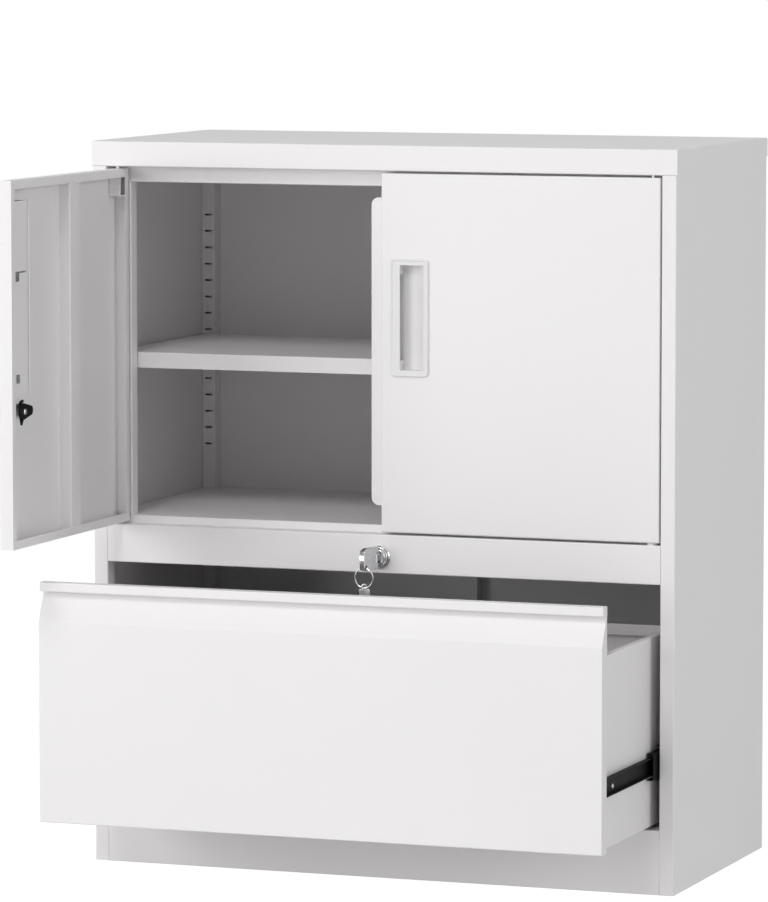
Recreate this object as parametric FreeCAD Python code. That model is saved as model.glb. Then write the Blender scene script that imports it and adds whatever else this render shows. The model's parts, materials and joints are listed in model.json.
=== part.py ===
import FreeCAD, Part
import math
import os

# Steel storage cabinet with two hinged doors over one lateral filing drawer.
# Millimetres. Origin: middle of the footprint on the floor. +X right seen from the front,
# +Y to the back, +Z up. The left door stands open, the drawer is drawn out.

# Case
case_width = 800.0
case_depth = 400.0
case_height = 950.0
sheet = 0.8                  # wall of every folded steel panel
bend_radius = 1.6            # outside radius of a fold
post_width = 20.0            # face of each front post
post_depth = 24.0            # return of the post into the opening
post_hem = 14.0              # outward fold behind the post
side_hem = 18.0              # rear fold of a side panel
cap_apron = 33.0             # front edge of the top cap
cap_skirt = 25.0             # side and rear edges of the top cap
cap_return = 30.0            # fold under the front apron
cap_radius = 2.0             # rounding of the cap's upper edges
plinth_height = 83.0
plinth_return = 28.0
drawer_opening = 315.0
rail_height = 50.0
rail_top_return = 30.0
rail_bottom_return = 22.0
floor_height = 10.0          # compartment floor above the rail
header_height = 21.0         # strip behind the upper edge of the doors
header_return = 16.0
base_skirt = 15.0
back_flange = 18.0           # standing seam in the middle of the back
seam_clearance = 0.5         # notches round the standing seam and the uprights

# Slotted uprights and shelf
rear_upright_width = 19.0
rear_upright_depth = 22.6
stop_width = 25.0            # door stop strip beside the post
front_upright_depth = 20.0
front_upright_hem = 23.0
slot_width = 9.6
slot_height = 2.6
slot_pitch = 22.5
slot_count = 15
slot_first = 61.7            # first slot above the compartment floor
shelf_height = 20.5
shelf_front = 47.0           # shelf's front edge behind the case front
shelf_rear_gap = 2.0
shelf_side_gap = 2.4
shelf_lip = 12.0
shelf_slot = 5               # number of the slot that the clips hang in
clip_sheet = 1.2
clip_width = 8.0
clip_reach = 16.0
clip_rise = 18.3             # shelf seat above the clip's slot
clip_tongue = 1.6

# Foot gussets and wall fixing
gusset_size = 62.0
gusset_sheet = 2.0
foot_inset = 40.0            # foot holes from the case's sides, front and back
foot_hole = 8.4
wall_hole_inset = 100.0      # from the case's sides
wall_hole = 6.5
wall_hole_drop = 35.0

# Doors
door_thickness = 18.0
door_gap = 3.0               # above and below a door
door_side_gap = 2.2          # at the hinge edge
door_centre_gap = 6.0
door_edge_radius = 2.0
door_lip = 11.0
left_door_rest = 90.0        # opening angle that is modelled
hinge_inset = 11.3           # hinge axis from the door's hinge edge
hinge_depth = 8.0            # hinge axis behind the door's face
pin_radius = 2.5
pin_clearance = 0.05
upper_pin_length = 44.0
lower_pin_length = 20.0
pin_reach = 6.5              # how far a pin stands past the door's edge
bracket_sheet = 1.5
bracket_width = 25.0
bracket_height = 35.0
lower_bracket_width = 22.0
washer_radius = 6.0
washer_gap = 0.2
stiffener_width = 29.0
stiffener_flange = 8.0
stiffener_share = 0.535      # its middle, as a share of the door's width from the free edge

# Recessed door handle
handle_inset = 13.6          # bezel from the door's free edge
handle_rise = 278.0          # middle of the handle above the door's lower edge
bezel_width = 51.0
bezel_height = 150.5
bezel_thickness = 2.0
bezel_corner = 5.0
bezel_round = 1.2
grip_flange = 12.4           # part of the bezel that overhangs the cup
grip_thickness = 1.6
cup_width = 32.5
cup_height = 135.4
cup_depth = 13.6
cup_undercut = 3.5           # end of the hollow behind the grip, from the bezel's edge
grip_end = 12.5              # solid ends of the cup above and below that hollow
cup_flat = 6.0               # flat part of the cup's floor past the grip
cup_wall = 1.4
cup_clearance = 0.3
cup_sag_share = 0.30         # hollow of the cup's sloping floor, as a share of its depth
channel_width = 48.0
channel_flange = 8.0
channel_bottom = 190.0       # above the door's lower edge
channel_top = 437.0

# Overlap strip on the right door
tongue_reach = 20.0
tongue_weld = 9.0
tongue_top_gap = 32.0
tongue_bottom_gap = 33.0
tongue_step = 0.6
tongue_corner = 10.0

# Locks
lock_body_radius = 9.5
lock_bore_clearance = 0.05
lock_hole_clearance = 0.2
plug_radius = 6.0
nut_radius = 12.5
nut_thickness = 4.0
nut_sides = 6
keyway_width = 2.6
keyway_height = 8.0
keyway_depth = 22.0
rosette_radius = 15.5
rosette_step_radius = 12.5
rosette_depth = 3.0
rosette_step = 2.5
rosette_chamfer = 0.8
door_rosette_radius = 13.0
door_rosette_step_radius = 10.5
door_lock_inset = 24.0       # lock axis from the door's free edge
door_lock_rise = 173.0       # lock axis above the door's lower edge
door_cam_plane = 20.2        # front of the cam behind the door's face
drawer_cam_plane = 26.0
cam_gap = 0.7                # between the lock body's end and the cam
cam_thickness = 2.5
cam_tail = 2.0               # end of the plug behind the cam
cam_square = 7.0
cam_fit = 0.05
door_cam_reach = 29.0
door_cam_boss = 10.5
door_cam_tip = 6.0
horn_reach = 15.0
horn_width = 3.4
tail_reach = 17.0
tail_width = 6.0
drawer_cam_reach = 46.0
drawer_cam_boss = 9.0
drawer_cam_tip = 6.0
key_sheet = 2.2
key_blade_height = 7.4
key_blade_length = 20.0
key_neck_length = 5.0
key_neck_height = 9.0
bow_height = 30.0
bow_length = 32.0
bow_thickness = 7.5
bow_fold = 15.0              # degrees that the folding bow leans to the left
bow_corner = 7.0
bow_hole_radius = 2.4
bow_hole_inset = 2.5
lock_rise = 21.0             # drawer lock above the rail's lower edge

# Drawer
drawer_rest = 230.0          # how far the drawer is drawn out in the model
drawer_face_gap = 2.0
drawer_bottom_gap = 4.0
drawer_front_depth = 20.0
pull_height = 50.0           # height of the sloping pull and its lip
pull_depth = 17.0            # depth of the finger recess under the lip
lip_height = 12.0
lip_setback = 4.0
front_hem = 14.0
liner_flange = 26.0
liner_hem = 8.0
liner_flange_end = 22.0       # how far the flange stops short of each end
slot_side_clearance = 1.5    # round the lock cam in the liner's flange
drawer_rear_gap = 37.6       # between the drawer and the case's back
drawer_side_height = 243.0
drawer_side_foot = 15.0
drawer_side_hem = 10.0
drawer_side_drop = 8.0
rail_bar_height = 13.0
rail_bar_thickness = 2.0
rail_bar_front = 16.0        # front bar behind the liner
rail_bar_rear = 14.0         # rear bar before the drawer's back
rail_bar_hook = 1.2
rail_bar_gap = 0.4

# Telescopic slides
slide_thickness = 13.0
slide_centre = 84.0          # above the plinth
slide_rear_gap = 2.2         # between the slides and the rear uprights
slide_sheet = 1.2
slide_bend = 2.4
outer_height = 45.0
outer_flange = 10.8
middle_height = 34.8
middle_set = 2.4             # middle member's web from the bracket
middle_flange = 9.0
inner_height = 23.2
inner_flange = 8.0
inner_ball_set = 4.6         # inner ball rows from the drawer's side
ball_clearance = 0.2
ball_count = 5
ball_pitch = 12.0
ball_sides = 8               # flat facets round a ball
ball_bands = 4
cage_sheet = 0.6
cage_length = 60.0
slide_bracket_height = 54.0
# Travel of the slide's pieces, as shares of the drawer's
outer_cage_share = 0.09
middle_share = 0.18
inner_cage_share = 0.59

overrun = 5.0                # how far a cutting solid passes the wall it cuts
touch = 0.001                # tolerance for finding edges

# Places worked out from the sizes above
right = case_width / 2
front = -case_depth / 2
rear = case_depth / 2
wall_out = right - sheet
wall_in = wall_out - sheet
jamb = right - post_width
stop = front + post_depth
back_out = rear - sheet
back_in = back_out - 2 * sheet
rail_bottom = plinth_height + drawer_opening
rail_top = rail_bottom + rail_height
floor_top = rail_top + floor_height
apron_bottom = case_height - cap_apron
skirt_bottom = case_height - cap_skirt
cap_inside = case_height - cap_radius
header_bottom = apron_bottom - header_height
base_top = plinth_height - sheet
upright_front = back_in - rear_upright_depth
upright_inner = wall_in - rear_upright_width
stop_inner = jamb - stop_width
front_upright_back = stop + front_upright_depth
front_slot_x = stop_inner + front_upright_hem / 2
rear_slot_x = wall_in - rear_upright_width / 2
shelf_slot_z = floor_top + slot_first + shelf_slot * slot_pitch
shelf_bottom = shelf_slot_z + clip_rise

door_bottom = rail_top + door_gap
door_top = apron_bottom - door_gap
door_hinge_edge = jamb - door_side_gap
door_free_edge = door_centre_gap / 2
door_back = front + door_thickness
hinge_x = door_hinge_edge - hinge_inset
hinge_y = front + hinge_depth
door_width = door_hinge_edge - door_free_edge
lock_z = rail_bottom + lock_rise
door_lock_x = -(door_free_edge + door_lock_inset)
door_lock_z = door_bottom + door_lock_rise

drawer_bottom_z = plinth_height + drawer_bottom_gap
drawer_top = rail_bottom - drawer_face_gap
drawer_half = jamb - drawer_face_gap
liner_back = front + drawer_front_depth
drawer_back_y = back_in - drawer_rear_gap
drawer_side_x = jamb - slide_thickness
drawer_side_in = drawer_side_x - sheet
drawer_side_top = drawer_bottom_z + drawer_side_height
slide_z = plinth_height + slide_centre
slide_front = stop + sheet
slide_rear = upright_front - slide_rear_gap
drawn = FreeCAD.Vector(0, -drawer_rest, 0)


def vec(x, y, z):
    return FreeCAD.Vector(x, y, z)


def block(x0, x1, y0, y1, z0, z1):
    return Part.makeBox(x1 - x0, y1 - y0, z1 - z0, vec(x0, y0, z0))


def rod(radius, x, y, z, direction, length):
    return Part.makeCylinder(radius, length, vec(x, y, z), direction)


def mirrored(shape):
    return shape.mirror(vec(0, 0, 0), vec(1, 0, 0))


def both_sides(shape):
    return Part.Compound([mirrored(shape), shape])


def joined(first, *others):
    return first.fuse(list(others)).removeSplitter()


def face_edges(shape, axis, value):
    return [
        edge
        for edge in shape.Edges
        if all(abs(corner.Point[axis] - value) < touch for corner in edge.Vertexes)
    ]


# Folded sheet: an open outline on one face, with the sheet on its right hand, round outside the folds
def heading(a, b):
    length = math.hypot(b[0] - a[0], b[1] - a[1])
    return ((b[0] - a[0]) / length, (b[1] - a[1]) / length)


def turn_at(points, i):
    before = heading(points[i - 1], points[i])
    after = heading(points[i], points[i + 1])
    return math.atan2(
        before[0] * after[1] - before[1] * after[0],
        before[0] * after[0] + before[1] * after[1],
    )


def shifted_outline(points, distance):
    moved = []
    last = len(points) - 1
    for i, point in enumerate(points):
        before = heading(points[i - 1], point) if i else heading(point, points[1])
        after = heading(point, points[i + 1]) if i < last else before
        normal = (before[1] + after[1], -before[0] - after[0])
        scale = distance / (1 + before[0] * after[0] + before[1] * after[1])
        moved.append((point[0] + normal[0] * scale, point[1] + normal[1] * scale))
    return moved


def rounded_path(points, radii):
    path = [("point", points[0])]
    for i in range(1, len(points) - 1):
        before = heading(points[i - 1], points[i])
        after = heading(points[i], points[i + 1])
        half = abs(turn_at(points, i)) / 2
        run = radii[i] * math.tan(half)
        start = (points[i][0] - before[0] * run, points[i][1] - before[1] * run)
        end = (points[i][0] + after[0] * run, points[i][1] + after[1] * run)
        inward = heading((0, 0), (after[0] - before[0], after[1] - before[1]))
        depth = radii[i] / math.cos(half) - radii[i]
        middle = (points[i][0] + inward[0] * depth, points[i][1] + inward[1] * depth)
        path += [("point", start), ("arc", middle, end)]
    path.append(("point", points[-1]))
    return path


def path_edges(path, place):
    edges = []
    here = path[0][1]
    for step in path[1:]:
        end = step[-1]
        if math.hypot(end[0] - here[0], end[1] - here[1]) < touch:
            continue
        if step[0] == "arc":
            edges.append(Part.Arc(place(*here), place(*step[1]), place(*end)).toShape())
        else:
            edges.append(Part.LineSegment(place(*here), place(*end)).toShape())
        here = end
    return edges


def folded(points, axis, start, end, thickness=sheet, radius=bend_radius):
    places = {
        "x": lambda u, v: vec(start, u, v),
        "y": lambda u, v: vec(u, start, v),
        "z": lambda u, v: vec(u, v, start),
    }
    travel = {"x": vec(end - start, 0, 0), "y": vec(0, end - start, 0), "z": vec(0, 0, end - start)}
    near, far = [0.0] * len(points), [0.0] * len(points)
    for i in range(1, len(points) - 1):
        outside = turn_at(points, i) < 0
        near[i] = radius if outside else 0.0
        far[i] = 0.0 if outside else radius
    outline = rounded_path(points, near)
    inline = rounded_path(shifted_outline(points, thickness)[::-1], far[::-1])
    path = outline + inline + [("point", points[0])]
    wire = Part.Wire(path_edges(path, places[axis]))
    return Part.Face(wire).extrude(travel[axis])


# Pressed tray: a rounded skin with four walls, open at the back or below, with an optional lip
def tray(x0, x1, y0, y1, z0, z1, opening, radius, lip):
    axis, skin = (1, y0) if opening == "back" else (2, z1)
    outer = block(x0, x1, y0, y1, z0, z1)
    outer = outer.makeFillet(radius, face_edges(outer, axis, skin))
    open_y = overrun if opening == "back" else -sheet
    open_z = overrun if opening == "down" else -sheet
    inner = block(x0 + sheet, x1 - sheet, y0 + sheet, y1 + open_y, z0 - open_z, z1 - sheet)
    skin_in = y0 + sheet if opening == "back" else z1 - sheet
    inner = inner.makeFillet(radius - sheet, face_edges(inner, axis, skin_in))
    shell = outer.cut(inner)
    if not lip:
        return shell
    if opening == "back":
        ring = block(x0, x1, y1 - sheet, y1, z0, z1)
        window = block(x0 + lip, x1 - lip, y0, y1 + overrun, z0 + lip, z1 - lip)
    else:
        ring = block(x0, x1, y0, y1, z0, z0 + sheet)
        window = block(x0 + lip, x1 - lip, y0 + lip, y1 - lip, z0 - overrun, z1)
    return joined(shell, ring.cut(window))


# Case panels
def side_panel():
    outline = [
        (wall_out - side_hem, back_out),
        (wall_out, back_out),
        (wall_out, front),
        (jamb, front),
        (jamb, stop),
        (jamb + post_hem, stop),
    ]
    lower = folded(outline, "z", 0, apron_bottom)
    upper = block(wall_in, wall_out, front + sheet, back_out - sheet, apron_bottom, cap_inside)
    return joined(lower, upper)


def top_cap():
    shell = tray(-right, right, front, rear, skirt_bottom, case_height, "down", cap_radius, 0)
    outline = [
        (front + cap_return, apron_bottom),
        (front, apron_bottom),
        (front, skirt_bottom + sheet),
    ]
    apron = folded(outline, "x", -right, right)
    ends = block(wall_in, right + overrun, front + sheet, front + cap_return + overrun,
                 apron_bottom - overrun, skirt_bottom)
    apron = apron.cut(both_sides(ends))
    holes = rod(pin_radius + pin_clearance, hinge_x, hinge_y, apron_bottom - overrun,
                vec(0, 0, 1), 2 * overrun)
    return joined(shell, apron).cut(both_sides(holes))


def back_panel():
    outline = [
        (wall_in, back_in),
        (sheet, back_in),
        (sheet, back_in - back_flange),
    ]
    panel = folded(outline, "z", 0, cap_inside)
    hole = rod(wall_hole / 2, right - wall_hole_inset, back_in - overrun, skirt_bottom - wall_hole_drop,
               vec(0, 1, 0), 2 * overrun)
    return panel.cut(hole)


def mid_rail():
    outline = [
        (front + rail_bottom_return, rail_bottom),
        (front, rail_bottom),
        (front, rail_top),
        (front + rail_top_return, rail_top),
    ]
    rail = folded(outline, "x", -jamb, jamb)
    holes = rod(pin_radius + pin_clearance, hinge_x, hinge_y, rail_top - overrun, vec(0, 0, 1), 2 * overrun)
    lock = rod(lock_body_radius + lock_hole_clearance, 0, front - overrun, lock_z, vec(0, 1, 0),
               2 * overrun)
    return rail.cut(both_sides(holes)).cut(lock)


def seam_notch(z0, z1):
    half = bend_radius + seam_clearance
    return block(-half, half, back_in - back_flange - seam_clearance, back_in + overrun, z0, z1)


def upright_notch(z0, z1):
    corner = block(upright_inner - seam_clearance, wall_in + overrun, upright_front - seam_clearance,
                   back_in + overrun, z0, z1)
    return Part.Compound([mirrored(corner), corner, seam_notch(z0, z1)])


def compartment_floor():
    pan = tray(-wall_in, wall_in, stop, back_in, rail_top, floor_top, "down", bend_radius, 0)
    return pan.cut(upright_notch(rail_top - overrun, floor_top + overrun))


def plinth():
    outline = [
        (front + plinth_return, 0),
        (front, 0),
        (front, plinth_height),
        (front + plinth_return, plinth_height),
    ]
    return folded(outline, "x", -jamb, jamb)


def base_pan():
    pan = tray(-wall_in, wall_in, stop, back_in, base_top - base_skirt, base_top, "down", bend_radius, 0)
    return pan.cut(seam_notch(base_top - base_skirt - overrun, base_top + overrun))


def gussets():
    plates = []
    foot_x, foot_y = right - foot_inset, rear - foot_inset
    for toward in (-1, 1):
        near = front + plinth_return if toward < 0 else back_in
        far = toward * (foot_y - gusset_size / 2)
        plate = block(wall_in - gusset_size, wall_in, min(near, far), max(near, far), 0, gusset_sheet)
        hole = rod(foot_hole / 2, foot_x, toward * foot_y, -overrun, vec(0, 0, 1), 2 * overrun)
        plate = plate.cut(hole)
        plates += [plate, mirrored(plate)]
    return Part.Compound(plates)


def door_header():
    outline = [
        (stop + header_return, header_bottom),
        (stop, header_bottom),
        (stop, apron_bottom),
        (stop + header_return, apron_bottom),
    ]
    return folded(outline, "x", -jamb, jamb)


def slots(x, y):
    cuts = []
    for i in range(slot_count):
        z = floor_top + slot_first + i * slot_pitch
        cuts.append(block(x - slot_width / 2, x + slot_width / 2, y - overrun, y + overrun,
                          z - slot_height / 2, z + slot_height / 2))
    return Part.Compound(cuts)


def front_upright():
    outline = [
        (jamb + post_hem, stop),
        (stop_inner, stop),
        (stop_inner, front_upright_back),
        (stop_inner + front_upright_hem, front_upright_back),
    ]
    strip = folded(outline, "z", floor_top, header_bottom)
    return strip.cut(slots(front_slot_x, front_upright_back))


def rear_upright():
    outline = [
        (wall_in, back_in),
        (wall_in, upright_front),
        (upright_inner, upright_front),
        (upright_inner, back_in),
    ]
    post = folded(outline, "z", base_top, cap_inside)
    return post.cut(slots(rear_slot_x, upright_front))


def shelf():
    return tray(-wall_in + shelf_side_gap, wall_in - shelf_side_gap, front + shelf_front,
                upright_front - shelf_rear_gap, shelf_bottom, shelf_bottom + shelf_height,
                "down", bend_radius, shelf_lip)


def shelf_clip(x, face, toward):
    low = shelf_slot_z - slot_height / 2
    outer = face + toward * clip_sheet
    reach = face + toward * clip_reach
    back = face - toward * (sheet + clip_tongue)
    x0, x1 = x - clip_width / 2, x + clip_width / 2
    seat = block(x0, x1, min(face, reach), max(face, reach), shelf_bottom - clip_sheet, shelf_bottom)
    leg = block(x0, x1, min(face, outer), max(face, outer), low, shelf_bottom)
    tongue = block(x0, x1, min(back, outer), max(back, outer),
                   shelf_slot_z - clip_sheet / 2, shelf_slot_z + clip_sheet / 2)
    return joined(seat, leg, tongue)


def shelf_clips():
    clips = []
    for x, face, toward in ((front_slot_x, front_upright_back, 1), (rear_slot_x, upright_front, -1)):
        clip = shelf_clip(x, face, toward)
        clips += [clip, mirrored(clip)]
    return Part.Compound(clips)


# Doors, drawn closed on the right-hand side
def door_skin():
    skin = tray(door_free_edge, door_hinge_edge, front, door_back, door_bottom, door_top,
                "back", door_edge_radius, door_lip)
    z = door_bottom + handle_rise
    cup_x0, cup_x1 = cup_outer_span()
    opening = block(cup_x0 - cup_clearance, cup_x1 + cup_clearance, front - overrun, front + overrun,
                    z - cup_height / 2 - cup_wall - cup_clearance,
                    z + cup_height / 2 + cup_wall + cup_clearance)
    pins = rod(pin_radius + pin_clearance, hinge_x, hinge_y, door_bottom - overrun,
               vec(0, 0, 1), door_top - door_bottom + 2 * overrun)
    return skin.cut(opening).cut(pins)


def stiffener():
    middle = door_free_edge + door_width * stiffener_share
    half = stiffener_width / 2
    inside = front + sheet
    crest = door_back - 2 * sheet
    outline = [
        (middle + half + stiffener_flange, inside),
        (middle + half, inside),
        (middle + half, crest),
        (middle - half, crest),
        (middle - half, inside),
        (middle - half - stiffener_flange, inside),
    ]
    return folded(outline, "z", door_bottom + door_edge_radius, door_top - door_edge_radius)


def handle_channel():
    inside = front + sheet
    crest = door_back - sheet
    wall = door_free_edge + channel_width
    outline = [
        (door_free_edge + sheet, crest),
        (wall, crest),
        (wall, inside + sheet),
        (wall + channel_flange, inside + sheet),
    ]
    low, high = door_bottom + channel_bottom, door_bottom + channel_top
    channel = folded(outline, "z", low, high)
    z = door_bottom + handle_rise
    room = cup_height / 2 + cup_wall + cup_clearance
    notch = block(wall - overrun, wall + channel_flange + overrun, inside - overrun,
                  crest - sheet, z - room, z + room)
    return channel.cut(notch)


def cup_outer_span():
    bezel_x0 = door_free_edge + handle_inset
    return bezel_x0 + cup_undercut - cup_wall, bezel_x0 + grip_flange + cup_width + cup_wall


def cup_profile(x0, x1, flat_x, y_top, depth, sag, z):
    slope = Part.Arc(
        vec(x1, y_top, z),
        vec((x1 + flat_x) / 2, (y_top + depth) / 2 + sag, z),
        vec(flat_x, depth, z),
    ).toShape()
    corners = [vec(flat_x, depth, z), vec(x0, depth, z), vec(x0, y_top, z), vec(x1, y_top, z)]
    return Part.Face(Part.Wire([slope] + Part.makePolygon(corners).Edges))


def handle():
    x0 = door_free_edge + handle_inset
    z = door_bottom + handle_rise
    low, high = z - bezel_height / 2, z + bezel_height / 2
    plate = block(x0, x0 + bezel_width, front - bezel_thickness, front, low, high)
    upright_edges = [e for e in plate.Edges if abs(e.Vertexes[0].X - e.Vertexes[1].X) < touch
                     and abs(e.Vertexes[0].Z - e.Vertexes[1].Z) < touch]
    plate = plate.makeFillet(bezel_corner, upright_edges)
    plate = plate.makeFillet(bezel_round, face_edges(plate, 1, front - bezel_thickness))
    open_x0 = x0 + grip_flange
    open_x1 = open_x0 + cup_width
    flat_x = open_x0 + cup_flat
    cup_low, cup_high = z - cup_height / 2, z + cup_height / 2
    outer_x0, outer_x1 = cup_outer_span()
    sag = cup_depth * cup_sag_share
    body = cup_profile(outer_x0, outer_x1, flat_x + cup_wall, front, front + cup_depth + cup_wall,
                       sag, cup_low - cup_wall).extrude(vec(0, 0, cup_height + 2 * cup_wall))
    under_grip = front + grip_thickness - bezel_thickness
    hollow = cup_profile(open_x0, open_x1, flat_x, under_grip, front + cup_depth, sag,
                         cup_low).extrude(vec(0, 0, cup_height))
    undercut = block(x0 + cup_undercut, flat_x, under_grip, front + cup_depth,
                     cup_low + grip_end, cup_high - grip_end)
    mouth = block(open_x0, open_x1, front - bezel_thickness - overrun, front + grip_thickness,
                  cup_low, cup_high)
    return joined(plate, body).cut(hollow).cut(undercut).cut(mouth)


def hinge_brackets():
    inside = front + door_edge_radius
    hinge_wall = door_hinge_edge - sheet
    under = door_top - sheet
    outline = [
        (hinge_wall, under - bracket_height),
        (hinge_wall - bracket_width, under - bracket_height),
        (hinge_wall - bracket_width, under),
    ]
    upper = folded(outline, "y", inside, door_back - sheet,
                   bracket_sheet, bracket_sheet + bend_radius)
    lower = block(hinge_wall - lower_bracket_width, hinge_wall, inside, door_back - sheet,
                  door_bottom + sheet, door_bottom + sheet + bracket_sheet)
    pins = rod(pin_radius + pin_clearance, hinge_x, hinge_y, door_bottom - overrun,
               vec(0, 0, 1), door_top - door_bottom + 2 * overrun)
    return Part.Compound([upper.cut(pins), lower.cut(pins)])


def hinge_pins():
    upper = rod(pin_radius, hinge_x, hinge_y, door_top + pin_reach - upper_pin_length,
                vec(0, 0, 1), upper_pin_length)
    lower = rod(pin_radius, hinge_x, hinge_y, door_bottom - pin_reach, vec(0, 0, 1), lower_pin_length)
    return Part.Compound([upper, lower])


def hinge_washers():
    ring = rod(washer_radius, hinge_x, hinge_y, rail_top, vec(0, 0, 1), door_gap - washer_gap)
    bore = rod(pin_radius + pin_clearance, hinge_x, hinge_y, rail_top - overrun, vec(0, 0, 1),
               door_gap + 2 * overrun)
    return both_sides(ring.cut(bore))


def tongue():
    inner = door_back
    outer = door_back + tongue_step
    bend_x = door_free_edge - tongue_step
    outline = [
        (door_free_edge + tongue_weld, inner),
        (door_free_edge, inner),
        (bend_x - tongue_step, outer),
        (door_free_edge - tongue_reach, outer),
    ]
    low, high = door_bottom + tongue_bottom_gap, door_top - tongue_top_gap
    strip = folded(outline, "z", low, high, sheet, sheet + tongue_step)
    corner_edges = [e for e in strip.Edges
                    if all(abs(v.X - door_free_edge + tongue_reach) < touch for v in e.Vertexes)
                    and abs(e.Vertexes[0].Z - e.Vertexes[1].Z) < touch]
    return strip.makeFillet(tongue_corner, corner_edges)


# Locks: a stepped rosette with a bored body, a nut behind the panel, a plug with a keyway and a cam
def lock_body(x, z, face, radius, step_radius, end):
    bore = plug_radius + lock_bore_clearance
    step = face - rosette_depth
    nose = step - rosette_step
    cut = rosette_chamfer
    corners = [
        (bore, nose),
        (step_radius - cut, nose),
        (step_radius, nose + cut),
        (step_radius, step),
        (radius - cut, step),
        (radius, step + cut),
        (radius, face),
        (lock_body_radius, face),
        (lock_body_radius, end),
        (bore, end),
    ]
    points = [vec(x + r, y, z) for r, y in corners]
    profile = Part.Face(Part.makePolygon(points + points[:1]))
    return profile.revolve(vec(x, 0, z), vec(0, 1, 0), 360)


def lock_nut(x, z, face):
    points = []
    for i in range(nut_sides + 1):
        angle = math.radians(360 * i / nut_sides)
        points.append(vec(x + nut_radius * math.cos(angle), face, z + nut_radius * math.sin(angle)))
    nut = Part.Face(Part.makePolygon(points)).extrude(vec(0, nut_thickness, 0))
    bore = rod(lock_body_radius + lock_bore_clearance, x, face - overrun, z, vec(0, 1, 0),
               nut_thickness + 2 * overrun)
    return nut.cut(bore)


def lock_plug(x, z, face, cam_plane):
    nose = face - rosette_depth - rosette_step
    barrel = rod(plug_radius, x, nose, z, vec(0, 1, 0), cam_plane - nose)
    half = cam_square / 2
    square = block(x - half, x + half, cam_plane, cam_plane + cam_thickness + cam_tail, z - half, z + half)
    keyway = block(x - keyway_width / 2, x + keyway_width / 2, nose - overrun, nose + keyway_depth,
                   z - keyway_height / 2, z + keyway_height / 2)
    return joined(barrel, square).cut(keyway)


def cam_lobe(x, y, z, boss, tip, reach, toward):
    centre = reach - tip
    lean = math.acos((boss - tip) / centre)
    across, up = math.cos(lean), math.sin(lean)
    far = x + toward * centre
    wire = Part.Wire([
        Part.Arc(vec(x + toward * boss * across, y, z - boss * up), vec(x - toward * boss, y, z),
                 vec(x + toward * boss * across, y, z + boss * up)).toShape(),
        Part.LineSegment(vec(x + toward * boss * across, y, z + boss * up),
                         vec(far + toward * tip * across, y, z + tip * up)).toShape(),
        Part.Arc(vec(far + toward * tip * across, y, z + tip * up), vec(far + toward * tip, y, z),
                 vec(far + toward * tip * across, y, z - tip * up)).toShape(),
        Part.LineSegment(vec(far + toward * tip * across, y, z - tip * up),
                         vec(x + toward * boss * across, y, z - boss * up)).toShape(),
    ])
    plate = Part.Face(wire).extrude(vec(0, cam_thickness, 0))
    half = cam_square / 2 + cam_fit
    hole = block(x - half, x + half, y - overrun, y + cam_thickness + overrun, z - half, z + half)
    return plate, hole


def drawer_lock_cam():
    plate, hole = cam_lobe(0, front + drawer_cam_plane, lock_z, drawer_cam_boss, drawer_cam_tip,
                           drawer_cam_reach, 1)
    return plate.cut(hole)


# The door's cam has a hooked horn above and a pointed tail below, on the side of the free edge
def door_lock_cam():
    x, y, z = door_lock_x, front + door_cam_plane, door_lock_z
    plate, hole = cam_lobe(x, y, z, door_cam_boss, door_cam_tip, door_cam_reach, -1)
    horn = rod(horn_reach, x, y, z, vec(0, 1, 0), cam_thickness)
    inside = rod(horn_reach - horn_width, x, y - overrun, z, vec(0, 1, 0), cam_thickness + 2 * overrun)
    horn = horn.cut(inside)
    horn = horn.common(block(x, x + door_cam_boss, y, y + cam_thickness, z, z + horn_reach))
    root = block(x + door_cam_boss - horn_width, x + door_cam_boss, y, y + cam_thickness,
                 z, z + door_cam_boss)
    corners = [
        vec(x + door_cam_boss, y, z),
        vec(x + door_cam_boss - tail_width, y, z - tail_reach),
        vec(x, y, z - door_cam_boss),
        vec(x, y, z),
    ]
    tail = Part.Face(Part.makePolygon(corners + corners[:1])).extrude(vec(0, cam_thickness, 0))
    return joined(plate, horn, root, tail).cut(hole)


def drawer_key():
    nose = front - rosette_depth - rosette_step
    half = key_sheet / 2
    hinge = nose - key_neck_length
    bow_end = hinge - bow_length
    blade = block(-half, half, nose, nose + key_blade_length, lock_z - key_blade_height / 2,
                  lock_z + key_blade_height / 2)
    neck = block(-half, half, hinge - key_neck_length, nose, lock_z - key_neck_height / 2,
                 lock_z + key_neck_height / 2)
    bow = block(-bow_thickness / 2, bow_thickness / 2, bow_end, hinge, lock_z - bow_height / 2,
                lock_z + bow_height / 2)
    corners = [e for e in bow.Edges if abs(e.Vertexes[0].X - e.Vertexes[1].X) > touch]
    bow = bow.makeFillet(bow_corner, corners)
    hole = rod(bow_hole_radius, -bow_thickness, bow_end + bow_hole_inset + bow_hole_radius,
               lock_z - bow_height / 2 + bow_hole_inset + bow_hole_radius, vec(1, 0, 0), 2 * bow_thickness)
    bow = bow.cut(hole)
    bow.rotate(vec(0, hinge, 0), vec(0, 0, 1), -bow_fold)
    return joined(blade, neck, bow)


# Drawer, drawn closed
def drawer_front():
    foot, top = drawer_bottom_z, drawer_top
    outline = [
        (liner_back, foot),
        (front, foot),
        (front, top - pull_height),
        (front + pull_depth, top - lip_height),
        (front + lip_setback, top - lip_height),
        (front + lip_setback, top),
        (liner_back, top),
        (liner_back, top - front_hem),
    ]
    pressing = folded(outline, "x", -drawer_half, drawer_half)
    inner = [vec(drawer_half - sheet, y, z) for y, z in shifted_outline(outline, sheet)]
    end = Part.Face(Part.makePolygon(inner + inner[:1])).extrude(vec(sheet, 0, 0))
    return joined(pressing, end, mirrored(end))


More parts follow.
